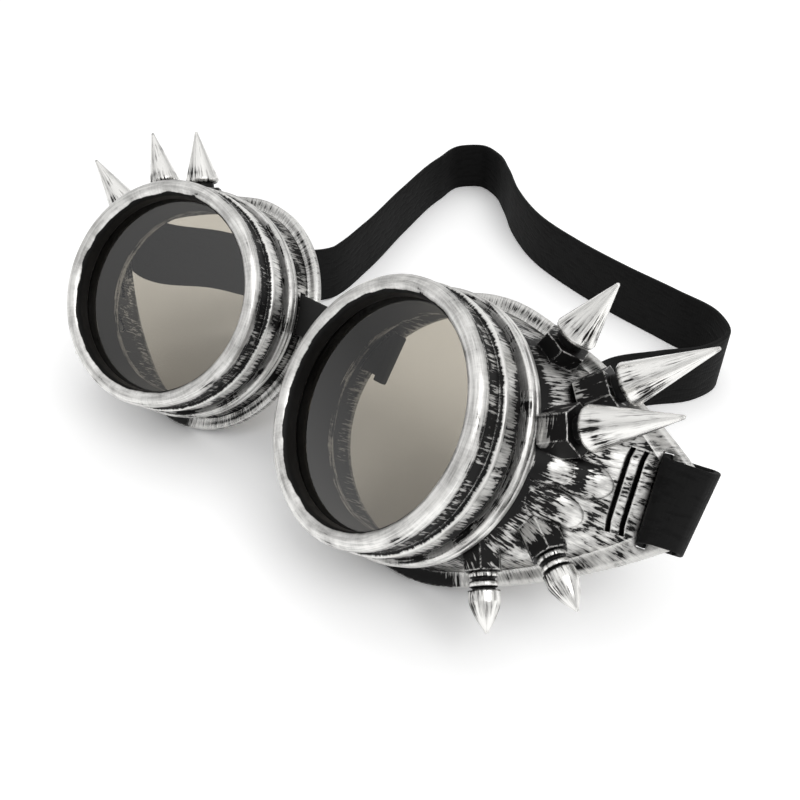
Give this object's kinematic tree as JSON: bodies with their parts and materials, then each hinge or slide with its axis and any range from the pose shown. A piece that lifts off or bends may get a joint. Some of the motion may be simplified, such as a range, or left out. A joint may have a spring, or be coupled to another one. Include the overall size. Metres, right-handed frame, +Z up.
{
  "type": "spiked round goggles",
  "caption": "Round steampunk goggles with screw-on lens rings, flared cups set with spikes and bullet studs, a bridge band and an elastic head strap.",
  "frame": {"origin": "on the table, below the middle of the part's box", "axes": "+X from the wearer's one temple to the other, to the right as the lenses are faced; the lenses face -Y and lean back; +Z up from the table that the goggles lie on"},
  "size_m": [0.1984, 0.2142, 0.0674],
  "materials": {
    "cup_paint": "black plastic dry-brushed with antique silver",
    "ring_paint": "black plastic dry-brushed with antique silver, rim worn bright",
    "smoke_lens": "clear smoke grey",
    "seal_rubber": "matt",
    "stud_silver": "silver plated, dark in the hollows",
    "screw_steel": "plain",
    "bridge_rubber": "matt",
    "strap_elastic": "woven elastic with fine cross ribs"
  },
  "bodies": {
    "right_cup": {"right_cup_shell": "cup_paint", "right_top_spike": "stud_silver", "right_upper_spike": "stud_silver", "right_side_spike": "stud_silver", "right_lower_bullet": "stud_silver", "right_bottom_bullet": "stud_silver", "right_stud_screws": "screw_steel", "bridge_band": "bridge_rubber", "head_strap": "strap_elastic"},
    "left_cup": {"left_cup_shell": "cup_paint", "left_top_spike": "stud_silver", "left_upper_spike": "stud_silver", "left_side_spike": "stud_silver", "left_lower_bullet": "stud_silver", "left_bottom_bullet": "stud_silver", "left_stud_screws": "screw_steel"},
    "right_lens_seat": {"right_lens": "smoke_lens", "right_lens_seal": "seal_rubber"},
    "left_lens_seat": {"left_lens": "smoke_lens", "left_lens_seal": "seal_rubber"},
    "right_ring": {"right_lens_ring": "ring_paint"},
    "left_ring": {"left_lens_ring": "ring_paint"}
  },
  "joints": [
    {"name": "bridge_fold", "type": "hinge", "parent": "right_cup", "child": "left_cup", "pos_m": [0, -0.06198, 0.03491], "axis": [0, 0.6388, 0.7694], "range_deg": [-110, 24], "stiffness_Nm_per_rad": 0.03, "deforming": ["bridge_band", "head_strap"]},
    {"name": "right_lens_slide", "type": "slide", "parent": "right_cup", "child": "right_lens_seat", "axis": [-0.1977, -0.7542, 0.6262], "range_m": [0, 0.006]},
    {"name": "right_ring_turn", "type": "hinge", "parent": "right_lens_seat", "child": "right_ring", "pos_m": [0.03705, -0.08479, 0.04151], "axis": [-0.1977, -0.7542, 0.6262], "range_deg": [0, 720]},
    {"name": "left_lens_slide", "type": "slide", "parent": "left_cup", "child": "left_lens_seat", "axis": [0.1977, -0.7542, 0.6262], "range_m": [0, 0.006]},
    {"name": "left_ring_turn", "type": "hinge", "parent": "left_lens_seat", "child": "left_ring", "pos_m": [-0.03705, -0.08479, 0.04151], "axis": [0.1977, -0.7542, 0.6262], "range_deg": [0, 720]}
  ],
  "couplings": [
    {"joint": "right_ring_turn", "follows": "right_lens_slide", "rad_per_m": 2094.4},
    {"joint": "left_ring_turn", "follows": "left_lens_slide", "rad_per_m": 2094.4}
  ]
}
